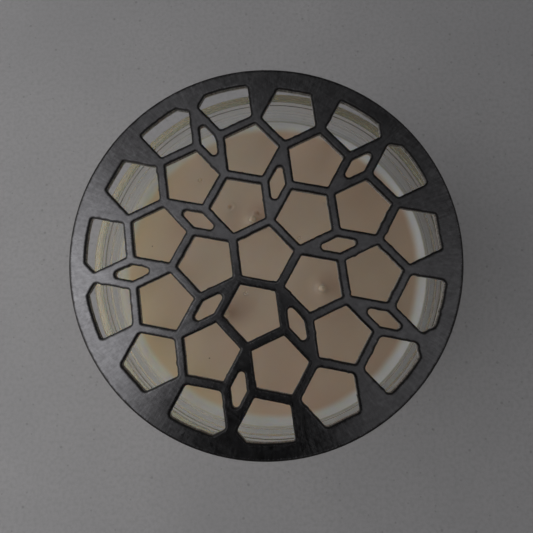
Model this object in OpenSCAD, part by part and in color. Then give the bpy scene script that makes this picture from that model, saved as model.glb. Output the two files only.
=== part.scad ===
// Three-wick jar candle with a pierced steel topper resting on the jar's rim.
// The origin is the centre of the jar's foot, on the surface that the jar stands on. +Z is up.

/* [Topper] */
// Diameter of the steel plate
lid_d = 110; // [106:0.5:116]
// Thickness of the steel plate
lid_t = 1.5; // [1:0.1:2.5]
// Side of the pentagons that the pattern is drawn from
tile_side = 11.71; // [11.2:0.01:12.2]
// Width of the steel struts between two holes
strut_w = 2.62; // [2:0.02:3]
// Radius of the circle that cuts off the outermost holes
field_r = 50.35; // [49.6:0.05:51.5]
// Corner radius of the pentagonal holes
pentagon_round = 0.4; // [0.2:0.05:0.8]
// Corner radius of the leaf slots
leaf_round = 0.95; // [0.4:0.05:1.2]
// Deburring chamfer round the plate's outer edge
lid_chamfer = 0.2; // [0.1:0.05:0.4]
// Turn of the pattern about the plate's centre, in degrees
lid_turn = -28.4; // [-36:0.1:36]
// How far the loose plate lies off the jar's axis
lid_slip = 3.1; // [0:0.1:3.4]
// Direction in which the plate lies off the jar's axis, in degrees
lid_slip_dir = 133; // [0:1:360]

/* [Jar] */
// Outer diameter of the glass
jar_d = 101.6; // [101:0.2:103]
// Height of the glass, from the foot to the rim
jar_h = 89; // [75:0.5:110]
// Thickness of the side wall
wall_t = 2.3; // [2:0.1:3]
// Thickness of the glass floor
floor_t = 8; // [6:0.5:12]
// Outer corner radius at the foot
heel_r = 5; // [3:0.5:7]
// Inner corner radius at the glass floor
floor_round = 6; // [4:0.5:8]
// Radius of the rim's rounded lips
lip_round = 0.8; // [0.5:0.05:0.9]
// Depth of the hollow under the glass floor
punt_h = 1.6; // [0.8:0.1:2.5]
// Radius of the hollow under the glass floor
punt_r = 38; // [34:0.5:42]

/* [Wax] */
// Drop from the rim to the wax's contact line on the glass
wax_drop = 11.6; // [9:0.1:25]
// Height that the wax climbs the glass
meniscus_h = 1.2; // [0.6:0.1:1.4]
// Width of the climbing edge
meniscus_w = 2.4; // [1.6:0.1:2.6]

/* [Wicks] */
// Radius of the circle through the three wicks
wick_ring_r = 17.9; // [15:0.1:20]
// Direction of the first wick, in degrees
wick_ring_turn = 104.6; // [0:0.1:120]
// Sideways error of the wick circle's centre along X
wick_ring_dx = -1.6; // [-2:0.1:2]
// Sideways error of the wick circle's centre along Y
wick_ring_dy = -1.8; // [-2:0.1:2]
// Diameter of the waxed wick
wick_d = 2.6; // [2:0.1:3.2]
// Height of the trimmed wick above the wax
wick_proud = 3; // [2:0.1:6]
// Diameter of the wick's steel tab
tab_d = 15; // [12:0.5:20]
// Thickness of the tab's sheet
tab_t = 0.4; // [0.3:0.05:0.6]
// Outer diameter of the tab's neck
neck_d = 3.6; // [3.5:0.1:4]
// Height of the tab's neck above its sheet
neck_h = 6; // [4:0.5:9]
// Diameter of the adhesive disc under the tab
sticker_d = 13; // [10:0.5:18]
// Thickness of the adhesive disc
sticker_t = 0.8; // [0.5:0.1:1.2]

/* [Hidden] */

// Fineness of turned surfaces, and of the cut pattern's corners
turned_fn = 180;
corner_fn = 20;
// Overlap that lets a cut run past a face
past = 1;

jar_r = jar_d / 2;
bore_r = jar_r - wall_t;
contact_z = jar_h - wax_drop;
wax_z = contact_z - meniscus_h;
tab_z = floor_t + sticker_t;
wick_top_z = wax_z + wick_proud;
// Radius of the meniscus, from its width w and height h: (w^2 + h^2) / 2h
meniscus_r = (pow(meniscus_w, 2) + pow(meniscus_h, 2)) / (2 * meniscus_h);

// ---- The pattern: regular pentagons packed round a centre one, and the thin rhombs left between them.
STEP = 72;
HALF = 36;
// Distances below are in tile sides: a pentagon's inner and outer radius, and a thin rhomb's half diagonals.
inner_k = 0.5 / tan(HALF);
outer_k = 0.5 / sin(HALF);
long_k = cos(HALF / 2);
short_k = sin(HALF / 2);

function unit(a) = [cos(a), sin(a)];

// One pentagonal hole, with a corner pointing at angle a. The struts on its sides take half their width off it.
module pentagon_hole(centre, a) {
    r = outer_k * tile_side - strut_w / 2 / cos(HALF);
    translate(centre * tile_side)
        polygon([for (i = [0:4]) r * unit(a + STEP * i)]);
}

// One leaf slot, lying along angle a.
module leaf_hole(centre, a) {
    inset = 1 - strut_w / 2 / (long_k * short_k * tile_side);
    long = long_k * tile_side * inset;
    short = short_k * tile_side * inset;
    translate(centre * tile_side)
        rotate(a)
            polygon([[long, 0], [0, short], [-long, 0], [0, -short]]);
}

// Rounds the convex corners of a flat shape and keeps its sides where they are.
module rounded(r) {
    offset(r = r, $fn = corner_fn)
        offset(delta = -r)
            children();
}

// The holes of one fifth of the pattern, in the direction a.
module pentagon_sector(a) {
    petal = 2 * inner_k * unit(a);
    pentagon_hole(petal, a);
    for (side = [-1, 1]) {
        second = petal + 2 * inner_k * unit(a + side * HALF);
        pentagon_hole(second, a + HALF);
        pentagon_hole(second + 2 * inner_k * unit(a), a);
    }
    pentagon_hole((2 * outer_k + 2 * long_k) * unit(a + HALF), a + HALF + 180);
}

module leaf_sector(a) {
    leaf_hole((outer_k + long_k) * unit(a + HALF), a + HALF);
    leaf_hole((2 * inner_k + outer_k + long_k) * unit(a), a);
}

module pentagon_field() {
    rounded(pentagon_round)
        intersection() {
            circle(r = field_r, $fn = turned_fn);
            union() {
                pentagon_hole([0, 0], HALF);
                for (i = [0:4]) pentagon_sector(STEP * i);
            }
        }
}

module leaf_field() {
    rounded(leaf_round)
        for (i = [0:4]) leaf_sector(STEP * i);
}

module pierced_lid() {
    r = lid_d / 2;
    c = lid_chamfer;
    edge = [[0, 0], [r - c, 0], [r, c], [r, lid_t - c], [r - c, lid_t], [0, lid_t]];
    color("dimgray")
        translate([lid_slip * cos(lid_slip_dir), lid_slip * sin(lid_slip_dir), jar_h])
            rotate(lid_turn)
                difference() {
                    rotate_extrude($fn = turned_fn) polygon(edge);
                    translate([0, 0, -past])
                        linear_extrude(lid_t + 2 * past) {
                            pentagon_field();
                            leaf_field();
                        }
                }
}

// ---- The jar and the wax, as half profiles turned about the Z axis.
// A block from the axis out to r and up to h, whose lower outer corner is rounded.
module footed_profile(r, h, corner) {
    translate([0, corner]) square([r, h - corner]);
    square([r - corner, corner]);
    intersection() {
        translate([r - corner, corner]) circle(corner, $fn = turned_fn);
        translate([r - corner, 0]) square([corner, corner]);
    }
}

// The jar's inside, from the glass floor up to height z.
module cavity_profile(z) {
    translate([0, floor_t]) footed_profile(bore_r, z - floor_t, floor_round);
}

// The top of the wall, with both lips rounded and a flat land between them.
module rim_profile() {
    base_z = jar_h - lip_round;
    for (x = [bore_r + lip_round, jar_r - lip_round])
        translate([x, base_z]) circle(lip_round, $fn = turned_fn);
    translate([bore_r + lip_round, base_z]) square([wall_t - 2 * lip_round, lip_round]);
}

// The shallow dished hollow under the floor: a circle that meets the foot at punt_r and rises punt_h.
module punt_profile() {
    dish_r = (pow(punt_r, 2) + pow(punt_h, 2)) / (2 * punt_h);
    intersection() {
        translate([0, punt_h - dish_r]) circle(dish_r, $fn = turned_fn);
        translate([0, -past]) square([punt_r, punt_h + 2 * past]);
    }
}

module glass_jar() {
    color("azure", 0.4)
        rotate_extrude($fn = turned_fn) {
            difference() {
                footed_profile(jar_r, jar_h - lip_round, heel_r);
                cavity_profile(jar_h + past);
                punt_profile();
            }
            rim_profile();
        }
}

module wax_fill() {
    color("bisque")
        difference() {
            rotate_extrude($fn = turned_fn)
                difference() {
                    cavity_profile(contact_z);
                    translate([0, wax_z]) square([bore_r - meniscus_w, meniscus_h + past]);
                    translate([bore_r - meniscus_w, wax_z + meniscus_r])
                        circle(meniscus_r, $fn = turned_fn);
                }
            for (i = [0:2]) at_wick(i) {
                sticker_body();
                tab_body();
                wick_body();
            }
        }
}

// ---- The three wicks, each crimped in a tab that is stuck to the glass floor.
module at_wick(i) {
    a = wick_ring_turn + 120 * i;
    translate([wick_ring_dx, wick_ring_dy, 0] + wick_ring_r * [cos(a), sin(a), 0])
        children();
}

module wick_body() {
    translate([0, 0, tab_z])
        cylinder(d = wick_d, h = wick_top_z - tab_z, $fn = turned_fn);
}

module tab_body() {
    translate([0, 0, tab_z]) {
        cylinder(d = tab_d, h = tab_t, $fn = turned_fn);
        cylinder(d = neck_d, h = tab_t + neck_h, $fn = turned_fn);
    }
}

module sticker_body() {
    translate([0, 0, floor_t])
        cylinder(d = sticker_d, h = sticker_t, $fn = turned_fn);
}

module wick(i) {
    color("oldlace") at_wick(i) wick_body();
}

module wick_tab(i) {
    color("silver")
        at_wick(i)
            difference() {
                tab_body();
                translate([0, 0, tab_z - past])
                    cylinder(d = wick_d, h = tab_t + neck_h + 2 * past, $fn = turned_fn);
            }
}

module wick_sticker(i) {
    color("ivory") at_wick(i) sticker_body();
}

glass_jar();
wax_fill();
wick(0);  // wick_1
wick(1);  // wick_2
wick(2);  // wick_3
wick_tab(0);  // wick_tab_1
wick_tab(1);  // wick_tab_2
wick_tab(2);  // wick_tab_3
wick_sticker(0);  // wick_sticker_1
wick_sticker(1);  // wick_sticker_2
wick_sticker(2);  // wick_sticker_3
pierced_lid();
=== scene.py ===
"""A three-wick jar candle under a pierced steel topper, seen from above. Metres, +Z up."""

import math
import random

import bmesh
import bpy
from mathutils import Matrix, Vector, noise
from mathutils.geometry import delaunay_2d_cdt


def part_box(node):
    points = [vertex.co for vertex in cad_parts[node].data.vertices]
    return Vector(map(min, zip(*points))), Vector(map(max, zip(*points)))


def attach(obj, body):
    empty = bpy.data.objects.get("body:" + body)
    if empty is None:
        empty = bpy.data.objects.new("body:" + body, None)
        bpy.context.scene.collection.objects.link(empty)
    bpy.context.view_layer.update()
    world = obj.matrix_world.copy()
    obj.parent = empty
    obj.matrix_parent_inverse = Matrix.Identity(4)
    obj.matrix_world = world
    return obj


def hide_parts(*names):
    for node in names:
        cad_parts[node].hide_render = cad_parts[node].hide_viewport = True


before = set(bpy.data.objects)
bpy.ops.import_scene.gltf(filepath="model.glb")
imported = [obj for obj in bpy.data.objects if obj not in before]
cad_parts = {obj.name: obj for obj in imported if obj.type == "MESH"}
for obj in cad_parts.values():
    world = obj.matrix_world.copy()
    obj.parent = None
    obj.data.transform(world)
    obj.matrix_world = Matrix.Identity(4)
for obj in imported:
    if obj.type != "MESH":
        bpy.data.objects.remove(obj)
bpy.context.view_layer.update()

MM = 0.001
TURN = 2 * math.pi
# Lengths under this, in metres, count as nothing.
TINY = 1e-7

# ---- Places and sizes, from the frame.
lid_low, lid_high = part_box("pierced_lid")
jar_low, jar_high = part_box("glass_jar")
wax_low, wax_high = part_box("wax_fill")
LID_C = (lid_low + lid_high) / 2
LID_R = (lid_high.x - lid_low.x) / 2
LID_BOTTOM, LID_TOP = lid_low.z, lid_high.z
JAR_R = (jar_high.x - jar_low.x) / 2
JAR_H = jar_high.z
BORE_R = (wax_high.x - wax_low.x) / 2
FLOOR_Z = wax_low.z
CONTACT_Z = wax_high.z
WICKS = [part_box(f"wick_{i}") for i in (1, 2, 3)]
WICK_AXES = [((low.x + high.x) / 2, (low.y + high.y) / 2) for low, high in WICKS]
WICK_TOP = WICKS[0][1].z
WICK_LOW = WICKS[0][0].z
WICK_R = (WICKS[0][1].x - WICKS[0][0].x) / 2

# ---- Sizes that the frame doesn't give.
# The topper's pattern: its pentagons' side, the struts' width, and the circle that cuts the outer holes.
TILE = 11.71 * MM
STRUT = 2.62 * MM
FIELD_R = 50.35 * MM
# Its corner rounds, and its turn about the plate's centre.
PENTAGON_ROUND = 0.4 * MM
LEAF_ROUND = 0.95 * MM
PATTERN_TURN = math.radians(-28.4)
# How finely a hole's outline is drawn, along its sides and round its corners, and the points round the rim.
SIDE_STEP = 0.6 * MM
CORNER_STEP = math.radians(12)
RIM_STEPS = 360
# The worn edge of the steel, and the darker band round each hole, which is painted shade and dark reflection
# of the worn edge.
EDGE_ROUND = 0.18 * MM
SHADE_BAND = 0.9 * MM
# The brushed finish: noise cells per radian round the plate, and per metre out from its centre.
STREAKS_ROUND = 90.0
STREAKS_OUT = 160.0
# Sets of straight scratches across it: the turn of each in radians, and how strongly it shows.
SCRATCHES = ((0.62, 0.17), (2.05, 0.13), (2.75, 0.12), (1.2, 0.12))
# The jar's glass.
HEEL_R = 5 * MM
INNER_ROUND = 6 * MM
CORNER_Z = FLOOR_Z + INNER_ROUND
LIP_ROUND = 0.8 * MM
PUNT_R = 38 * MM
PUNT_H = 1.6 * MM
JAR_SEGMENTS = 360
# Faint bands that the mould left in the wall: how far below the rim, half width and depth of each.
INNER_BANDS = (
    (2.2 * MM, 0.45 * MM, 0.07 * MM),
    (4.9 * MM, 0.6 * MM, 0.08 * MM),
    (10.0 * MM, 0.35 * MM, 0.07 * MM),
)
OUTER_BANDS = (
    (1.9 * MM, 0.5 * MM, 0.07 * MM),
    (3.8 * MM, 0.5 * MM, 0.06 * MM),
    (7.0 * MM, 0.8 * MM, 0.08 * MM),
)
# The wax's climbing edge at the glass, and how far its mesh reaches into the wall so that no gap shows.
MENISCUS_W = 2.4 * MM
MENISCUS_H = 1.2 * MM
WAX_Z = CONTACT_Z - MENISCUS_H
HAIR = 0.06 * MM
# Small craters that bubbles left: how far each lies from the first wick, along X and Y.
CRATERS = ((-7.2 * MM, 4.4 * MM), (1.6 * MM, 2.4 * MM))
CRATER_R = 0.6 * MM
CRATER_DEPTH = 0.35 * MM
# A crater's raised lip: its height as a share of the depth, and its place and width in crater radii.
CRATER_LIP = 0.4
LIP_AWAY = 1.9
LIP_W = 0.7
# The painted shadow beside each wick: how far its middle lies from the wick, along X and Y.
SHADE_X = 4 * MM
SHADE_Y = 1.5 * MM


def unit(angle):
    return Vector((math.cos(angle), math.sin(angle)))


def rgb(r, g, b):
    return (r, g, b, 1.0)


# ---- Small helpers for node materials.
class Nodes:
    """Makes a material's nodes, one call each, and joins them."""

    def __init__(self, name):
        self.mat = bpy.data.materials.new(name)
        self.mat.use_nodes = True
        self.tree = self.mat.node_tree
        self.tree.nodes.clear()

    def feed(self, socket, value):
        """Links the socket to value if that is another node's output, and otherwise sets it to value."""
        if isinstance(value, bpy.types.NodeSocket):
            self.tree.links.new(value, socket)
        else:
            socket.default_value = value

    def set(self, node, key, value):
        """Feeds the node's first socket of this name, with underscores for its spaces."""
        names = {s.name.replace(" ", "_"): s for s in reversed(node.inputs)}
        self.feed(names[key], value)

    def add(self, kind, **values):
        """A node of this kind. Each value is for one of its properties or sockets."""
        node = self.tree.nodes.new(kind)
        for key, value in values.items():
            if hasattr(node, key):
                setattr(node, key, value)
            else:
                self.set(node, key, value)
        return node

    def math(self, operation, a, b=0.0):
        node = self.add("ShaderNodeMath", operation=operation)
        self.feed(node.inputs[0], a)
        self.feed(node.inputs[1], b)
        return node.outputs[0]

    def mix(self, factor, a, b):
        """Mixes two colours. A Mix node's colour sockets are its inputs 6 and 7 and its output 2."""
        node = self.add("ShaderNodeMix", data_type="RGBA")
        for index, value in ((0, factor), (6, a), (7, b)):
            self.feed(node.inputs[index], value)
        return node.outputs[2]

    def ramp(self, value, low, high, out_low=0.0, out_high=1.0):
        """Maps value from low..high to out_low..out_high, smoothly."""
        node = self.add("ShaderNodeMapRange", interpolation_type="SMOOTHSTEP")
        for socket, v in zip(node.inputs, (value, low, high, out_low, out_high)):
            self.feed(socket, v)
        return node.outputs[0]

    def place(self):
        """The point's place, in the object's own metres."""
        return self.add("ShaderNodeTexCoord").outputs["Object"]

    def stretched(self, vector, scale, turn=0.0, offset=(0, 0, 0)):
        """Turns a place about Z, then scales and shifts it, so that a noise can run in any direction."""
        if turn:
            turned = self.add("ShaderNodeVectorRotate", rotation_type="Z_AXIS", Angle=turn, Vector=vector)
            vector = turned.outputs[0]
        node = self.add("ShaderNodeMapping", Vector=vector, Scale=scale, Location=offset)
        return node.outputs[0]

    def away(self, vector, x, y):
        """How far the place lies from the upright line through (x, y)."""
        node = self.add("ShaderNodeVectorMath", operation="LENGTH")
        self.feed(node.inputs[0], self.stretched(vector, (1, 1, 0), 0.0, (-x, -y, 0)))
        return node.outputs["Value"]

    def radius(self, x, y):
        """How far a place with these coordinates lies from the Z axis."""
        squares = self.math("ADD", self.math("MULTIPLY", x, x), self.math("MULTIPLY", y, y))
        return self.math("SQRT", squares)

    def noise(self, vector, scale, detail=3.0, roughness=0.5):
        node = self.add("ShaderNodeTexNoise", Scale=scale, Detail=detail, Roughness=roughness, Vector=vector)
        return node.outputs["Fac"]

    def sway(self, value, amount):
        """Turns a noise of 0 to 1 into a shift of up to half of amount either way."""
        return self.math("MULTIPLY", self.math("SUBTRACT", value, 0.5), amount)

    def spots(self, vector, scale, size, share, flat=False):
        """1 in small round spots, scattered one to a cell in a share of the cells, and 0 elsewhere."""
        node = self.add("ShaderNodeTexVoronoi", Scale=scale, Randomness=0.9)
        if flat:
            node.voronoi_dimensions = "2D"
        self.set(node, "Vector", vector)
        chosen = self.math("LESS_THAN", self.split(node.outputs["Color"])[0], share)
        spot = self.ramp(node.outputs["Distance"], size * 0.5, size, 1.0, 0.0)
        return self.math("MULTIPLY", spot, chosen)

    def split(self, vector):
        node = self.add("ShaderNodeSeparateXYZ")
        self.feed(node.inputs[0], vector)
        return node.outputs

    def bump(self, height, distance, strength=1.0, normal=None):
        node = self.add("ShaderNodeBump", Strength=strength, Distance=distance, Height=height)
        if normal is not None:
            self.set(node, "Normal", normal)
        return node.outputs[0]

    def finish(self, **values):
        """The surface shader, with these socket values, as the material's output."""
        self.output(self.add("ShaderNodeBsdfPrincipled", **values).outputs[0])
        return self.mat

    def output(self, surface, volume=None):
        node = self.add("ShaderNodeOutputMaterial", Surface=surface)
        if volume is not None:
            self.set(node, "Volume", volume)


# ---- Materials.
def steel_streaks(n, place):
    """The brushing: streaks out from the plate's centre, a fine noise, and sets of straight scratches."""
    x, y, _ = n.split(place)
    polar = n.add("ShaderNodeCombineXYZ")
    n.feed(polar.inputs[0], n.math("MULTIPLY", n.math("ARCTAN2", y, x), STREAKS_ROUND))
    n.feed(polar.inputs[1], n.math("MULTIPLY", n.radius(x, y), STREAKS_OUT))
    streaks = n.math("MULTIPLY", n.noise(polar.outputs[0], 1.0, 5.0, 0.65), 0.32)
    streaks = n.math("ADD", streaks, n.math("MULTIPLY", n.noise(place, 420.0, 3.0, 0.6), 0.14))
    for turn, share in SCRATCHES:
        scratch = n.noise(n.stretched(place, (90, 1500, 1), turn, (share, turn, 0)), 1.0, 2.0, 0.6)
        streaks = n.math("ADD", streaks, n.math("MULTIPLY", scratch, share))
    return streaks


def steel_material():
    """Dark brushed steel, blotched and grainy, and nearly black along the cuts, where shade and the worn
    edge's dark reflection are painted in.
    """
    dark_streak = rgb(0.295, 0.29, 0.302)
    light_streak = rgb(0.485, 0.48, 0.495)
    n = Nodes("topper_steel")
    place = n.stretched(n.place(), (1, 1, 1), 0.0, (-LID_C.x, -LID_C.y, 0))
    streaks = steel_streaks(n, place)
    blotch = n.noise(place, 55.0, 4.0, 0.6)
    grain = n.noise(place, 620.0, 2.0, 0.6)
    # Painted shade and dark reflection: the steel goes nearly black at every cut edge and fades back out
    # across the band.
    cut = n.add("ShaderNodeAttribute", attribute_name="cut").outputs["Fac"]
    edge = n.ramp(n.math("ADD", cut, n.sway(n.noise(place, 700.0, 3.0), 0.7)), 0.0, 0.72)
    colour = n.mix(n.ramp(streaks, 0.38, 0.64), dark_streak, light_streak)
    colour = n.mix(n.ramp(blotch, 0.3, 0.7, 0.0, 0.35), colour, rgb(0.19, 0.185, 0.19))
    colour = n.mix(n.ramp(grain, 0.35, 0.75, 0.0, 0.3), colour, rgb(0.14, 0.135, 0.135))
    colour = n.mix(n.math("MULTIPLY", edge, 0.93), colour, rgb(0.035, 0.033, 0.032))
    rough = n.math("ADD", n.ramp(streaks, 0.35, 0.65, 0.17, 0.27), n.math("MULTIPLY", edge, 0.1))
    relief = n.math("ADD", streaks, n.math("MULTIPLY", grain, 0.3))
    return n.finish(
        Base_Color=colour,
        Metallic=1.0,
        Roughness=rough,
        Normal=n.bump(relief, 0.02 * MM, 0.4),
    )


def cut_wall_material():
    """The holes' walls: dull and dark from the cutting, lined across the sheet, with a painted glint along
    the lower edge.
    """
    n = Nodes("topper_cut_wall")
    place = n.place()
    lines = n.noise(n.stretched(place, (3000, 3000, 200)), 1.0, 3.0, 0.6)
    colour = n.mix(n.ramp(lines, 0.3, 0.7), rgb(0.05, 0.047, 0.044), rgb(0.36, 0.352, 0.34))
    height = n.split(place)[2]
    # Painted glint: a pale line along the foot of each wall, where the lower edge would catch the light.
    painted_glint = n.ramp(height, LID_BOTTOM + 0.3 * MM, LID_BOTTOM + 0.55 * MM, 0.85, 0.0)
    colour = n.mix(painted_glint, colour, rgb(0.74, 0.73, 0.71))
    return n.finish(
        Base_Color=colour,
        Metallic=0.35,
        Roughness=n.ramp(lines, 0.3, 0.7, 0.35, 0.55),
        Normal=n.bump(lines, 0.04 * MM, 0.7),
    )


def glass_material():
    """Clear soda-lime glass. The green that shows where it is thick comes from its volume."""
    n = Nodes("clear_glass")
    smear = n.noise(n.place(), 60.0, 3.0, 0.5)
    shader = n.add(
        "ShaderNodeBsdfPrincipled",
        Base_Color=rgb(0.99, 0.995, 0.985),
        Transmission_Weight=1.0,
        IOR=1.5,
        Roughness=n.ramp(smear, 0.35, 0.8, 0.0, 0.02),
    )
    # Lamps shine straight through, so that the wax and the inside of the wall are lit as through real glass.
    clear = n.add("ShaderNodeBsdfTransparent", Color=rgb(0.965, 0.97, 0.955))
    path = n.add("ShaderNodeLightPath")
    lit = n.math("MAXIMUM", path.outputs["Is Shadow Ray"], path.outputs["Is Diffuse Ray"])
    both = n.add("ShaderNodeMixShader")
    for socket, source in zip(both.inputs, (lit, shader.outputs[0], clear.outputs[0])):
        n.feed(socket, source)
    tint = n.add("ShaderNodeVolumeAbsorption", Color=rgb(0.46, 0.60, 0.44), Density=13.0)
    n.output(both.outputs[0], tint.outputs[0])
    return n.mat


def wax_body(n, place):
    """The wax's own uneven tan."""
    cloud = n.noise(place, 30.0, 3.0, 0.5)
    fine = n.noise(place, 260.0, 3.0, 0.6)
    drift = n.noise(n.stretched(place, (1, 1, 0), 0.0, (0.02, 0.05, 0)), 17.0, 2.0, 0.5)
    colour = n.mix(n.ramp(cloud, 0.35, 0.68), rgb(0.865, 0.66, 0.505), rgb(0.90, 0.735, 0.57))
    colour = n.mix(n.ramp(drift, 0.4, 0.62, 0.0, 0.7), colour, rgb(0.83, 0.70, 0.545))
    colour = n.mix(n.ramp(fine, 0.45, 0.75, 0.0, 0.10), colour, rgb(0.82, 0.60, 0.44))
    return colour, cloud


def wax_sides(n, colour, cloud, x, y, z):
    """Painted light makes the top yellower toward the lit side and white at the glass; painted shade makes it
    browner away from the light and greyer down the side at the glass; and it is dark at the contact line.
    """
    radius = n.radius(x, y)
    top = n.ramp(z, WAX_Z - 1.5 * MM, WAX_Z - 0.5 * MM)
    lean = n.math("SUBTRACT", n.math("MULTIPLY", x, -1.0), n.math("MULTIPLY", y, 0.25))
    outward = n.ramp(radius, BORE_R - 24 * MM, BORE_R - 5 * MM)
    # Painted light: the top turns yellower toward the lit side, near the glass, where light through the wall
    # would reach it.
    painted_glow = n.math("MULTIPLY", n.math("MULTIPLY", n.ramp(lean, 12 * MM, 36 * MM), outward), top)
    colour = n.mix(n.math("MULTIPLY", painted_glow, 0.8), colour, rgb(0.98, 0.79, 0.55))
    # Painted shade: browner toward +X, the side away from the light.
    colour = n.mix(n.ramp(x, 0.0, 36 * MM, 0.0, 0.6), colour, rgb(0.68, 0.52, 0.375))
    # Painted light: a white ring on the top where the wax climbs the glass.
    uneven = n.math("ADD", radius, n.sway(cloud, 3 * MM))
    painted_rim_light = n.math("MULTIPLY", n.ramp(uneven, BORE_R - 4.0 * MM, BORE_R - 1.5 * MM), top)
    colour = n.mix(n.math("MULTIPLY", painted_rim_light, 0.9), colour, rgb(1.0, 0.97, 0.935))
    # Painted shade: the side is a little greyer where the wax lies on the glass, and more so just under the
    # contact line, where the topper shades it.
    side = n.math("SUBTRACT", n.ramp(radius, BORE_R - 0.8 * MM, BORE_R - 0.2 * MM), top)
    painted_side_shade = n.ramp(z, WAX_Z - 18 * MM, WAX_Z, 0.15, 0.62)
    side = n.math("MULTIPLY", n.math("MAXIMUM", side, 0.0), painted_side_shade)
    colour = n.mix(side, colour, rgb(0.60, 0.57, 0.48))
    contact = n.math("MULTIPLY", n.ramp(radius, BORE_R - 0.45 * MM, BORE_R - 0.1 * MM), top)
    return n.mix(n.math("MULTIPLY", contact, 0.75), colour, rgb(0.36, 0.33, 0.22))


def wax_marks(n, colour, place):
    """The painted shadow beside each wick, and a darker brown in the middle of each of the two craters."""
    for wx, wy in WICK_AXES:
        # Painted shadow: each wick's shade falls toward +X, away from the light.
        away = n.away(place, wx + SHADE_X, wy + SHADE_Y)
        colour = n.mix(n.ramp(away, 1.5 * MM, 7.5 * MM, 0.42, 0.0), colour, rgb(0.66, 0.45, 0.33))
    for dx, dy in CRATERS:
        away = n.away(place, WICK_AXES[0][0] + dx, WICK_AXES[0][1] + dy)
        # Darker brown in the middle of each crater.
        crater_dark = n.ramp(away, 0.3 * CRATER_R, 1.3 * CRATER_R, 0.4, 0.0)
        colour = n.mix(crater_dark, colour, rgb(0.48, 0.33, 0.20))
    return colour


def wax_material():
    """Cream wax, lit a little from within, with scattered pits and tiny craters."""
    n = Nodes("cream_wax")
    place = n.place()
    x, y, z = n.split(place)
    colour, cloud = wax_body(n, place)
    colour = wax_sides(n, colour, cloud, x, y, z)
    colour = wax_marks(n, colour, place)
    pits = n.spots(place, 150.0, 0.045, 0.33)
    colour = n.mix(n.math("MULTIPLY", pits, 0.7), colour, rgb(0.30, 0.18, 0.11))
    crater = n.math("SUBTRACT", n.spots(place, 120.0, 0.12, 0.22), n.spots(place, 120.0, 0.075, 0.22))
    soft = n.bump(n.noise(place, 60.0, 3.0, 0.5), 0.4 * MM, 0.2)
    return n.finish(
        Base_Color=colour,
        Roughness=n.ramp(n.noise(place, 120.0, 3.0), 0.3, 0.7, 0.30, 0.45),
        Normal=n.bump(n.math("ADD", pits, crater), -0.3 * MM, 0.7, soft),
        IOR=1.44,
        Subsurface_Weight=0.8,
        Subsurface_Radius=(1.0, 0.8, 0.55),
        Subsurface_Scale=0.006,
    )


def wick_material():
    """A cotton wick soaked in wax, with a brown tip."""
    n = Nodes("waxed_wick")
    place = n.place()
    z = n.split(place)[2]
    cloud = n.noise(place, 600.0, 3.0, 0.6)
    colour = n.mix(n.ramp(cloud, 0.35, 0.7), rgb(0.84, 0.67, 0.50), rgb(0.95, 0.84, 0.70))
    tip = n.ramp(n.math("ADD", z, n.sway(cloud, 1.2 * MM)), WICK_TOP - 0.35 * MM, WICK_TOP)
    colour = n.mix(n.math("MULTIPLY", tip, 0.45), colour, rgb(0.42, 0.31, 0.17))
    return n.finish(
        Base_Color=colour,
        Roughness=n.ramp(cloud, 0.3, 0.7, 0.38, 0.6),
        Normal=n.bump(cloud, 0.2 * MM, 0.4),
        Subsurface_Weight=0.2,
        Subsurface_Radius=(1.0, 0.55, 0.3),
        Subsurface_Scale=0.002,
    )


def tab_material():
    """The tin-plated steel of the wick tabs."""
    n = Nodes("tinned_tab")
    grain = n.noise(n.stretched(n.place(), (300, 3000, 300)), 1.0, 3.0, 0.6)
    colour = n.mix(n.ramp(grain, 0.3, 0.7), rgb(0.52, 0.52, 0.50), rgb(0.70, 0.69, 0.66))
    return n.finish(
        Base_Color=colour,
        Metallic=1.0,
        Roughness=n.ramp(grain, 0.3, 0.7, 0.28, 0.42),
        Normal=n.bump(grain, 0.03 * MM, 0.5),
    )


def sticker_material():
    """The foam of the adhesive discs."""
    n = Nodes("adhesive_foam")
    cells = n.noise(n.place(), 2200.0, 3.0, 0.6)
    colour = n.mix(n.ramp(cells, 0.3, 0.7), rgb(0.72, 0.71, 0.67), rgb(0.88, 0.87, 0.83))
    return n.finish(
        Base_Color=colour,
        Roughness=n.ramp(cells, 0.3, 0.7, 0.6, 0.85),
        Normal=n.bump(cells, 0.1 * MM, 0.5),
    )


def floor_material():
    """A pale matt table top with faint specks."""
    n = Nodes("pale_floor")
    place = n.place()
    cloud = n.noise(place, 9.0, 4.0, 0.6)
    grain = n.noise(place, 500.0, 3.0, 0.6)
    colour = n.mix(n.ramp(cloud, 0.3, 0.7), rgb(0.44, 0.437, 0.45), rgb(0.49, 0.485, 0.497))
    colour = n.mix(n.ramp(grain, 0.35, 0.75, 0.0, 0.6), colour, rgb(0.37, 0.366, 0.376))
    for scale, size, share, depth in ((62.0, 0.055, 0.28, 0.45), (150.0, 0.09, 0.16, 0.4)):
        specks = n.math("MULTIPLY", n.spots(place, scale, size, share, flat=True), depth)
        colour = n.mix(specks, colour, rgb(0.22, 0.215, 0.22))
    return n.finish(Base_Color=colour, Roughness=0.6, Normal=n.bump(grain, 0.2 * MM, 0.3))


# ---- Mesh helpers.
def new_piece(name, mesh_data, materials):
    ob = bpy.data.objects.new(name, mesh_data)
    bpy.context.scene.collection.objects.link(ob)
    for material in materials:
        ob.data.materials.append(material)
    return ob


def arc(centre, r, start, end, steps):
    """Points on an arc from angle start to angle end, both in degrees."""
    angles = [math.radians(start + (end - start) * i / steps) for i in range(steps + 1)]
    return [Vector(centre) + r * unit(a) for a in angles]


def finished_mesh(name, bm):
    """The built faces as a mesh, all facing outward."""
    bmesh.ops.recalc_face_normals(bm, faces=bm.faces)
    made = bpy.data.meshes.new(name)
    bm.to_mesh(made)
    bm.free()
    return made


def smooth_mesh(name, bm):
    """The built faces as a mesh, shaded smooth."""
    for face in bm.faces:
        face.smooth = True
    return finished_mesh(name, bm)


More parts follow.
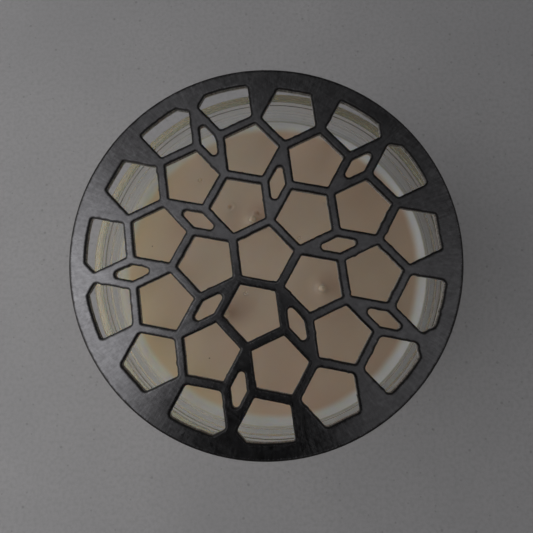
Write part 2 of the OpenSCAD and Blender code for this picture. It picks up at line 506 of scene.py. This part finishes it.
def turned_mesh(name, profile, segments, shape):
    """Turns a half profile of (radius, height) points about the Z axis.

    A point at radius 0 becomes one vertex. shape(radius, angle, height) may move the others.
    """
    bm = bmesh.new()
    rings = []
    for r, z in profile:
        count = 1 if r < TINY else segments
        ring = []
        for k in range(count):
            angle = TURN * k / segments
            radius, height = shape(r, angle, z) if count > 1 else (r, z)
            point = radius * unit(angle)
            ring.append(bm.verts.new((point.x, point.y, height)))
        rings.append(ring)
    for low, high in zip(rings, rings[1:]):
        for k in range(segments):
            j = (k + 1) % segments
            corners = [low[k % len(low)], low[j % len(low)], high[j % len(high)], high[k % len(high)]]
            bm.faces.new(list(dict.fromkeys(corners)))
    return smooth_mesh(name, bm)


# ---- The topper: a steel sheet with a five-fold pattern of pentagons and leaves cut through it.
PLATE, CUT_WALL = 0, 1  # Its material slots.
FIFTH = TURN / 5
TENTH = TURN / 10
# In pentagon sides: a pentagon's inner and outer radius, and a leaf's half diagonals.
INNER_K = 0.5 / math.tan(TENTH)
OUTER_K = 0.5 / math.sin(TENTH)
LONG_K = math.cos(TENTH / 2)
SHORT_K = math.sin(TENTH / 2)


def pentagon_corners(centre, angle, shrink):
    """A pattern pentagon's corners, its sides moved in by shrink."""
    r = OUTER_K * TILE - shrink / math.cos(TENTH)
    return [centre * TILE + r * unit(angle + FIFTH * i) for i in range(5)]


def leaf_corners(centre, angle, shrink):
    """A pattern leaf's four corners, its sides moved in by shrink."""
    inset = 1 - shrink / (LONG_K * SHORT_K * TILE)
    lengths = [LONG_K * TILE * inset, SHORT_K * TILE * inset] * 2
    return [centre * TILE + lengths[i] * unit(angle + TURN * i / 4) for i in range(4)]


def pattern_holes():
    """Every hole as (its shrunk corners, its corner radius). The cut left the pentagons' corners uneven."""
    pentagons = [(Vector((0, 0)), TENTH)]
    leaves = []
    for i in range(5):
        a = FIFTH * i
        petal = 2 * INNER_K * unit(a)
        pentagons.append((petal, a))
        for side in (-1, 1):
            second = petal + 2 * INNER_K * unit(a + side * TENTH)
            pentagons.append((second, a + TENTH))
            pentagons.append((second + 2 * INNER_K * unit(a), a))
        pentagons.append(((2 * OUTER_K + 2 * LONG_K) * unit(a + TENTH), a + TENTH + math.pi))
        leaves.append(((OUTER_K + LONG_K) * unit(a + TENTH), a + TENTH))
        leaves.append(((2 * INNER_K + OUTER_K + LONG_K) * unit(a), a))
    half = STRUT / 2
    uneven = random.Random(5)
    holes = []
    for centre, angle in pentagons:
        clipped = (centre.length + OUTER_K) * TILE > FIELD_R
        r = uneven.uniform(0.5, 1.3) * MM if clipped else uneven.uniform(0.8, 1.5) * PENTAGON_ROUND
        holes.append((pentagon_corners(centre, angle, half + r), r))
    return holes + [(leaf_corners(c, a, half + LEAF_ROUND), LEAF_ROUND) for c, a in leaves]


# A stretch of a side under this share of its length counts as nothing.
SLIVER = 1e-6


def inside_part(start, end, limit):
    """The stretch of a side, as two shares of its length, that lies within limit of the centre, or None."""
    step = end - start
    a, b, c = step.dot(step), 2 * start.dot(step), start.dot(start) - limit * limit
    root = b * b - 4 * a * c
    if root <= 0:
        return None
    low = max(0.0, (-b - math.sqrt(root)) / (2 * a))
    high = min(1.0, (-b + math.sqrt(root)) / (2 * a))
    return (low, high) if high - low > SLIVER else None


def angle_of(point):
    return math.atan2(point.y, point.x)


def rounding(point, start, end):
    """A corner's outline: one core point, while the outward angle turns on from start and up to end."""
    turn = (end - start) % TURN
    count = max(2, round(turn / CORNER_STEP))
    return [(point, start + turn * i / count) for i in range(1, count + 1)]


def along_circle(limit, first, last):
    """The outline where the circle cuts a hole off, from angle first to angle last."""
    sweep = (last - first) % TURN
    count = max(2, round(sweep * limit / SIDE_STEP))
    angles = [first + sweep * i / count for i in range(1, count + 1)]
    return [(limit * unit(a), a) for a in angles]


def hole_outline(corners, r):
    """A rounded convex hole's outline as (core point, outward angle): the edge is r out from each core point.

    The circle FIELD_R cuts it off. Its sides have points all along them, so that the cut can waver.
    """
    limit = FIELD_R - r
    runs = []
    for start, end in zip(corners, corners[1:] + corners[:1]):
        part = inside_part(start, end, limit)
        if part is None:
            continue
        step = end - start
        normal = math.atan2(-step.x, step.y)
        runs.append((start + part[0] * step, start + part[1] * step, normal))
    outline = []
    for k, (start, end, normal) in enumerate(runs):
        count = max(1, round((end - start).length / SIDE_STEP))
        outline += [(start.lerp(end, i / count), normal) for i in range(count + 1)]
        following, _, next_normal = runs[(k + 1) % len(runs)]
        # The next side brings its own first point, so the last one of each corner is left off.
        if (following - end).length < TINY:
            outline += rounding(end, normal, next_normal)[:-1]
            continue
        first, last = angle_of(end), angle_of(following)
        outline += rounding(end, normal, first)
        outline += along_circle(limit, first, last)
        outline += rounding(following, last, next_normal)[:-1]
    return outline


# How the cutting head strayed, as noise cells per metre and a reach in millimetres: a slow drift, a fine
# raggedness, and beads of slag, which stand only where their noise passes a level.
DRIFT_CELLS, DRIFT_REACH = 330, 0.05
RAGGED_CELLS, RAGGED_REACH = 1500, 0.055
SLAG_CELLS, SLAG_REACH, SLAG_LEVEL = 620, 0.45, 0.34


def cut_waver(point, seed):
    """How far the cutting head strayed outward here."""
    here = Vector((point.x, point.y, 0))
    own = Vector((0, 0, seed))
    drift = noise.noise(here * DRIFT_CELLS + own)
    ragged = noise.noise(here * RAGGED_CELLS + own)
    slag = max(0.0, noise.noise(here * SLAG_CELLS + Vector((0, 0, seed + 0.5))) - SLAG_LEVEL)
    return (DRIFT_REACH * drift + RAGGED_REACH * ragged - SLAG_REACH * slag) * MM


class Sheet:
    """Builds the pierced sheet: rings of points round each edge, then the two faces between the rings."""

    def __init__(self):
        self.bm = bmesh.new()
        # The cut attribute carries the painted shade along each cut: about 1 at the edge and 0 at the far
        # side of the band.
        self.cut = self.bm.verts.layers.float.new("cut")
        self.top, self.bottom = [], []

    def ring(self, points, z, cut):
        made = []
        for p in points:
            v = self.bm.verts.new((p.x, p.y, z))
            v[self.cut] = cut
            made.append(v)
        return made

    def bridge(self, low, high, material):
        for k in range(len(low)):
            j = (k + 1) % len(low)
            face = self.bm.faces.new((low[k], low[j], high[j], high[k]))
            face.material_index = material
            face.smooth = True

    def edge(self, outline, inward, wall_material):
        """One cut edge, from its worn lower corner up the wall to the band of painted shade round it on the
        top face.

        inward is 1 where the metal lies outside the outline, as round a hole, and -1 on the rim.
        """

        def at(offset):
            return [core + (r + inward * offset) * unit(angle) for core, r, angle in outline]

        # The middle of a worn corner lies about three tenths of its radius in from both faces.
        e, mid = EDGE_ROUND, 0.3 * EDGE_ROUND
        steps = [(e, LID_BOTTOM, 0.9), (mid, LID_BOTTOM + mid, 1), (0, LID_BOTTOM + e, 1)]
        steps += [(0, LID_TOP - e, 1), (mid, LID_TOP - mid, 1), (e, LID_TOP, 0.9)]
        rings = [self.ring(at(offset), z, cut) for offset, z, cut in steps]
        # The wall is the third strip of five. The others are the worn corners.
        for material, low, high in zip((PLATE, PLATE, wall_material, PLATE, PLATE), rings, rings[1:]):
            self.bridge(low, high, material)
        self.bottom.append(rings[0])
        band = self.ring(at(SHADE_BAND), LID_TOP, 0.0)
        self.bridge(rings[-1], band, PLATE)
        self.top.append(band)

    def face(self, rings):
        """Fills the flat face between the outer ring, which is first, and the holes."""
        verts, edges, owner = [], [], []
        for index, ring in enumerate(rings):
            start = len(verts)
            edges += [(start + k, start + (k + 1) % len(ring)) for k in range(len(ring))]
            verts += ring
            owner += [index] * len(ring)
        found = delaunay_2d_cdt([v.co.to_2d() for v in verts], edges, [], 0, 1e-9)
        triangles, sources = found[2], found[3]
        origin = {new: old[0] for new, old in enumerate(sources) if old}
        for tri in triangles:
            corners = [origin[i] for i in tri]
            ring = {owner[i] for i in corners}
            if len(ring) == 1 and 0 not in ring:
                # Only a triangle with all three corners on one hole's ring can lie in that hole.
                centre = sum((verts[i].co.to_2d() for i in corners), Vector((0, 0))) / 3
                if inside_ring(centre, [v.co.to_2d() for v in rings[ring.pop()]]):
                    continue
            self.bm.faces.new([verts[i] for i in corners])


def inside_ring(point, ring):
    """Whether point lies in the polygon ring."""
    inside = False
    for a, b in zip(ring, ring[1:] + ring[:1]):
        if (a.y > point.y) != (b.y > point.y):
            if point.x < a.x + (point.y - a.y) * (b.x - a.x) / (b.y - a.y):
                inside = not inside
    return inside


def make_topper():
    sheet = Sheet()
    centre = LID_C.to_2d()
    rim = [(centre, LID_R, TURN * k / RIM_STEPS) for k in range(RIM_STEPS)]
    sheet.edge(rim, -1, PLATE)
    cos_t, sin_t = math.cos(PATTERN_TURN), math.sin(PATTERN_TURN)
    for index, (corners, r) in enumerate(pattern_holes()):
        outline = []
        for core, angle in hole_outline(corners, r):
            turned = Vector((core.x * cos_t - core.y * sin_t, core.x * sin_t + core.y * cos_t))
            place = centre + turned
            outline.append((place, r + cut_waver(place, index), angle + PATTERN_TURN))
        sheet.edge(outline, 1, CUT_WALL)
    sheet.face(sheet.top)
    sheet.face(sheet.bottom)
    made = finished_mesh("topper_plate", sheet.bm)
    return new_piece("topper_plate", made, [steel_material(), cut_wall_material()])


# ---- The jar.
# The mould's bands lie in the top of the wall, over this depth, so its mesh is finer there.
NECK_H = 13 * MM
NECK_STEPS = 60
BODY_STEPS = 16


def wall_heights(low, high):
    """Heights along a wall between low and high."""
    neck = high - NECK_H
    body = [low + (neck - low) * i / BODY_STEPS for i in range(1, BODY_STEPS)]
    return body + [neck + (high - neck) * i / NECK_STEPS for i in range(NECK_STEPS)]


def jar_profile():
    """The glass's closed section: up the outside, over the rim, down the inside, and back under the floor."""
    dish_r = (PUNT_R**2 + PUNT_H**2) / (2 * PUNT_H)
    steps = 24
    radii = [PUNT_R * i / steps for i in range(steps + 1)]
    dish = [(r, math.sqrt(dish_r**2 - r**2) - dish_r + PUNT_H) for r in radii]
    heel = arc((JAR_R - HEEL_R, HEEL_R), HEEL_R, -90, 0, 16)
    wall = [(JAR_R, z) for z in wall_heights(HEEL_R, JAR_H - LIP_ROUND)]
    outer_lip = arc((JAR_R - LIP_ROUND, JAR_H - LIP_ROUND), LIP_ROUND, 0, 90, 10)
    inner_lip = arc((BORE_R + LIP_ROUND, JAR_H - LIP_ROUND), LIP_ROUND, 90, 180, 10)
    inside = [(BORE_R, z) for z in reversed(wall_heights(CORNER_Z, JAR_H - LIP_ROUND))]
    corner = arc((BORE_R - INNER_ROUND, CORNER_Z), INNER_ROUND, 0, -90, 14)
    floor = [((BORE_R - INNER_ROUND) * (1 - i / 10), FLOOR_Z) for i in range(1, 11)]
    return [tuple(p) for p in dish + heel + wall + outer_lip + inner_lip + inside + corner + floor]


# How uneven the pressed wall is, its noise cells per radius round the jar and per metre up it, and the height
# under the lip over which it comes true.
WOBBLE = 0.04 * MM
WOBBLE_ROUND = 1.5
WOBBLE_UP = 12
CALM_H = 1.5 * MM


def jar_wobble(r, angle, z):
    """Moves a point of the wall: glass is never quite even, and the mould leaves faint bands near the rim."""
    if r < PUNT_R or z > JAR_H - LIP_ROUND:
        return r, z
    around = unit(angle)
    point = Vector((around.x * WOBBLE_ROUND, around.y * WOBBLE_ROUND, z * WOBBLE_UP))
    # Next to the rim's rounded lip the wall is true, so that the two meet.
    calm = min(1.0, (JAR_H - LIP_ROUND - z) / CALM_H)
    low = (0.5 + 0.5 * noise.noise(point)) * WOBBLE
    inner = r < (BORE_R + JAR_R) / 2
    for place, width, height in INNER_BANDS if inner else OUTER_BANDS:
        low += height * math.exp(-(((JAR_H - z - place) / width) ** 2))
    return (r + calm * low if inner else r - calm * low), z


def make_jar():
    made = turned_mesh("jar_glass", jar_profile(), JAR_SEGMENTS, jar_wobble)
    return new_piece("jar_glass", made, [glass_material()])


# ---- The wax.
# The ripple left by cooling, which fades out over the last stretch before the glass.
RIPPLE_CELLS = 70
RIPPLE = 0.16 * MM
FADE_W = 4 * MM
# The wax drawn up each wick, and the ring-shaped dip round it.
CLIMB_H = 0.9 * MM
CLIMB_W = 0.8 * MM
DIP_DEPTH = 0.18 * MM
DIP_AWAY = 4 * MM
DIP_W = 2.4 * MM


def wax_height(x, y):
    """The wax's surface: nearly flat, climbing the glass and the wicks, with dips and craters."""
    r = math.hypot(x, y)
    z = WAX_Z
    climb = r - (BORE_R - MENISCUS_W)
    if climb > 0:
        round_r = (MENISCUS_W**2 + MENISCUS_H**2) / (2 * MENISCUS_H)
        climb = min(climb, MENISCUS_W)
        z += round_r - math.sqrt(round_r**2 - climb**2)
    calm = min(1.0, max(0.0, (BORE_R - r) / FADE_W))
    z += calm * noise.noise(Vector((x, y, 0)) * RIPPLE_CELLS) * RIPPLE
    for wx, wy in WICK_AXES:
        away = max(0.0, math.hypot(x - wx, y - wy) - WICK_R)
        z += CLIMB_H * math.exp(-away / CLIMB_W)
        z -= DIP_DEPTH * math.exp(-(((away - DIP_AWAY) / DIP_W) ** 2))
    for dx, dy in CRATERS:
        away = math.hypot(x - WICK_AXES[0][0] - dx, y - WICK_AXES[0][1] - dy) / CRATER_R
        z -= CRATER_DEPTH * math.exp(-(away**2))
        z += CRATER_LIP * CRATER_DEPTH * math.exp(-(((away - LIP_AWAY) / LIP_W) ** 2))
    return min(z, CONTACT_Z)


def make_wax():
    """A polar grid for the surface, closed by the sides and bottom, which reach a hair into the glass."""
    bm = bmesh.new()
    segments, rings = 288, 110
    r_out = BORE_R + HAIR
    centre = bm.verts.new((0, 0, wax_height(0, 0)))
    grid = []
    for i in range(1, rings + 1):
        r = r_out * i / rings
        ring = []
        for k in range(segments):
            p = r * unit(TURN * k / segments)
            ring.append(bm.verts.new((p.x, p.y, wax_height(p.x, p.y))))
        grid.append(ring)
    side = [(r_out, CONTACT_Z + (CORNER_Z - CONTACT_Z) * i / 24) for i in range(1, 24)]
    side += [tuple(p) for p in arc((r_out - INNER_ROUND, CORNER_Z), INNER_ROUND, 0, -90, 12)]
    for r, z in side:
        height = z - HAIR if z < CORNER_Z else z
        points = [r * unit(TURN * k / segments) for k in range(segments)]
        grid.append([bm.verts.new((p.x, p.y, height)) for p in points])
    bottom = bm.verts.new((0, 0, FLOOR_Z - HAIR))
    for k in range(segments):
        j = (k + 1) % segments
        bm.faces.new((centre, grid[0][k], grid[0][j]))
        bm.faces.new((grid[-1][k], bottom, grid[-1][j]))
        for a, b in zip(grid, grid[1:]):
            bm.faces.new((a[k], b[k], b[j], a[j]))
    return new_piece("candle_wax", smooth_mesh("candle_wax", bm), [wax_material()])


# ---- The wicks.
# A wick's strands, the height over which their ridges shift by one radian of phase, and how strong the ridges
# and the wax's roughness are.
STRANDS = 3
BRAID_RISE = 0.9 * MM
BRAID_DEPTH = 0.06
ROUGH_DEPTH = 0.05
ROUGH_CELLS = 900
# How far the tip leans and is rounded.
TIP_LEAN = 0.35 * MM
TIP_ROUND = 0.15 * MM


def make_wick(index, material):
    """A braided wick under a coat of wax: three strands show as low ridges, and the tip tapers and leans."""
    wx, wy = WICK_AXES[index]
    lean = unit(1.1 + 2.3 * index) * TIP_LEAN
    bm = bmesh.new()
    segments, rows = 36, 60
    span = WICK_TOP - WICK_LOW
    proud = WICK_TOP - WAX_Z
    grid = []
    for i in range(rows + 1):
        share = i / rows
        z = WICK_LOW + span * (share**0.6)
        above = max(0.0, (z - WAX_Z) / proud)
        r = WICK_R * (1 - 0.5 * above**1.3)
        ring = []
        for k in range(segments):
            a = TURN * k / segments
            braid = BRAID_DEPTH * math.cos(STRANDS * a - z / BRAID_RISE)
            ridge = braid + ROUGH_DEPTH * noise.noise(Vector((a, z * ROUGH_CELLS, index)))
            p = Vector((wx, wy)) + lean * above**1.5 + r * (0.94 + ridge * 0.9) * unit(a)
            ring.append(bm.verts.new((p.x, p.y, z - (TIP_ROUND if i == rows else 0))))
        grid.append(ring)
    tip = bm.verts.new((wx + lean.x, wy + lean.y, WICK_TOP))
    foot = bm.verts.new((wx, wy, WICK_LOW))
    for k in range(segments):
        j = (k + 1) % segments
        bm.faces.new((grid[-1][k], grid[-1][j], tip))
        bm.faces.new((grid[0][j], grid[0][k], foot))
        for a, b in zip(grid, grid[1:]):
            bm.faces.new((a[k], a[j], b[j], b[k]))
    name = f"waxed_wick_{index + 1}"
    return new_piece(name, smooth_mesh(name, bm), [material])


# ---- Stage, light and camera.
def make_floor():
    """A flat table top, so wide that its edge reads as the horizon."""
    bm = bmesh.new()
    bmesh.ops.create_grid(bm, x_segments=1, y_segments=1, size=8)
    made = bpy.data.meshes.new("table_top")
    bm.to_mesh(made)
    bm.free()
    return new_piece("table_top", made, [floor_material()])


def soft_light(name, direction, distance, size, power, colour):
    """A lamp of (width, height) that faces the topper from a direction, (azimuth, elevation) in degrees.

    Azimuth is counted from the X axis toward Y.
    """
    azimuth, elevation = (math.radians(v) for v in direction)
    flat = math.cos(elevation)
    toward = Vector((flat * math.cos(azimuth), flat * math.sin(azimuth), math.sin(elevation)))
    data = bpy.data.lights.new(name, "AREA")
    data.shape = "RECTANGLE"
    data.size, data.size_y = size
    data.energy = power
    data.color = colour
    ob = bpy.data.objects.new(name, data)
    bpy.context.scene.collection.objects.link(ob)
    ob.location = LID_C + toward * distance
    ob.rotation_euler = toward.to_track_quat("Z", "Y").to_euler()
    # It lights only what is matt. Steel and glass mirror the painted room instead.
    ob.visible_camera = False
    ob.visible_glossy = False
    ob.visible_transmission = False


class Sky(Nodes):
    """The room round the candle, painted by direction."""

    def __init__(self):
        self.world = bpy.data.worlds.new("room")
        bpy.context.scene.world = self.world
        self.world.use_nodes = True
        self.tree = self.world.node_tree
        self.tree.nodes.clear()
        self.direction = self.add("ShaderNodeTexCoord").outputs["Generated"]

    def patch(self, azimuth, zenith, full, none):
        """1 within full degrees of a direction, falling to 0 at none degrees."""
        a, t = math.radians(azimuth), math.radians(zenith)
        node = self.add("ShaderNodeVectorMath", operation="DOT_PRODUCT")
        self.feed(node.inputs[0], self.direction)
        self.feed(node.inputs[1], (math.sin(t) * math.cos(a), math.sin(t) * math.sin(a), math.cos(t)))
        return self.ramp(node.outputs["Value"], math.cos(math.radians(none)), math.cos(math.radians(full)))


# Patches of the room: azimuth and zenith of the middle, full and outer radius, all in degrees, and strength.
# The dark ones take that share of the light away, and the bright ones add to it.
DARK_PATCHES = (
    (256, 23, 14, 20, 1.0),
    (215, 5, 8, 13, 0.95),
    (80, 42, 12, 26, 0.7),
    (42, 32, 5, 17, 0.6),
)
BRIGHT_PATCHES = (
    (184, 44, 14, 31, 0.71),
    (110, 20, 4, 13, 0.11),
)


def room_light(sky, height):
    """How bright the room is: pale walls, a dimmer ceiling with dark shapes, and a window on the left."""
    level = sky.ramp(height, 0.35, 0.80, 0.24, 0.125)
    for *where, share in DARK_PATCHES:
        kept = sky.math("SUBTRACT", 1.0, sky.math("MULTIPLY", sky.patch(*where), share))
        level = sky.math("MULTIPLY", level, kept)
    for *where, added in BRIGHT_PATCHES:
        level = sky.math("ADD", level, sky.math("MULTIPLY", sky.patch(*where), added))
    return level


def make_world():
    """The painted room, as a surface sees it, and a plain backdrop, as the camera sees it."""
    sky = Sky()
    height = sky.split(sky.direction)[2]
    path = sky.add("ShaderNodeLightPath")
    # Matt surfaces take half as much from the room as steel and glass mirror, and the lamps do the rest.
    halved = sky.math("MULTIPLY", path.outputs["Is Diffuse Ray"], 0.5)
    level = sky.math("MULTIPLY", room_light(sky, height), sky.math("SUBTRACT", 1.0, halved))
    seen = path.outputs["Is Camera Ray"]
    backdrop = sky.math("MULTIPLY", seen, sky.ramp(height, 0.0, 0.5, 0.16, 0.30))
    lighting = sky.math("MULTIPLY", sky.math("SUBTRACT", 1.0, seen), level)
    strength = sky.math("ADD", backdrop, lighting)
    background = sky.add("ShaderNodeBackground", Color=rgb(0.985, 0.985, 1.0), Strength=strength)
    sky.add("ShaderNodeOutputWorld", Surface=background.outputs[0])


# The camera's lens, for a 36 mm wide sensor, and its place and aim, in topper radii from the middle of the
# topper's upper face.
LENS = 23.64
EYE = Vector((0.0564, -0.2396, 1.7583))
AIM = Vector((0.0141, -0.0598, 0.0))


def make_camera():
    """Close above the topper and a little to the near side, looking down near its middle."""
    data = bpy.data.cameras.new("camera")
    data.sensor_width = 36.0
    data.lens = LENS
    data.clip_start = 0.005
    ob = bpy.data.objects.new("camera", data)
    bpy.context.scene.collection.objects.link(ob)
    top = Vector((LID_C.x, LID_C.y, LID_TOP))
    eye = top + LID_R * EYE
    target = top + LID_R * AIM
    back = (eye - target).normalized()
    right = Vector((0, 1, 0)).cross(back).normalized()
    ob.location = eye
    ob.rotation_euler = Matrix((right, back.cross(right), back)).transposed().to_euler()
    bpy.context.scene.camera = ob


def main():
    make_camera()
    topper = make_topper()
    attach(topper, "lid")
    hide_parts("pierced_lid")
    jar = make_jar()
    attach(jar, "jar")
    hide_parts("glass_jar")
    wax = make_wax()
    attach(wax, "jar")
    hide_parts("wax_fill")
    cotton = wick_material()
    for index in range(3):
        wick = make_wick(index, cotton)
        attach(wick, "jar")
        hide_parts(f"wick_{index + 1}")
    tin, foam = tab_material(), sticker_material()
    for index in (1, 2, 3):
        for node, material in ((f"wick_tab_{index}", tin), (f"wick_sticker_{index}", foam)):
            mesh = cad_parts[node].data
            mesh.materials.clear()
            mesh.materials.append(material)
    make_floor()
    make_world()
    # The window stands high on the left, and its lower part shines in through the side of the glass.
    soft_light("window", (158, 46), distance=0.46, size=(0.9, 0.7), power=0.74, colour=(1.0, 0.99, 0.98))
    soft_light("low_window", (199, 26), distance=0.5, size=(0.8, 0.4), power=0.86, colour=(1.0, 0.988, 0.97))
    # A weak lamp close to the table on the right keeps the far side of the wax from going dark.
    soft_light("side_fill", (345, 5), distance=1.1, size=(1.0, 0.25), power=1.2, colour=(1.0, 1.0, 1.0))
    bpy.context.scene.view_settings.view_transform = "Standard"


main()
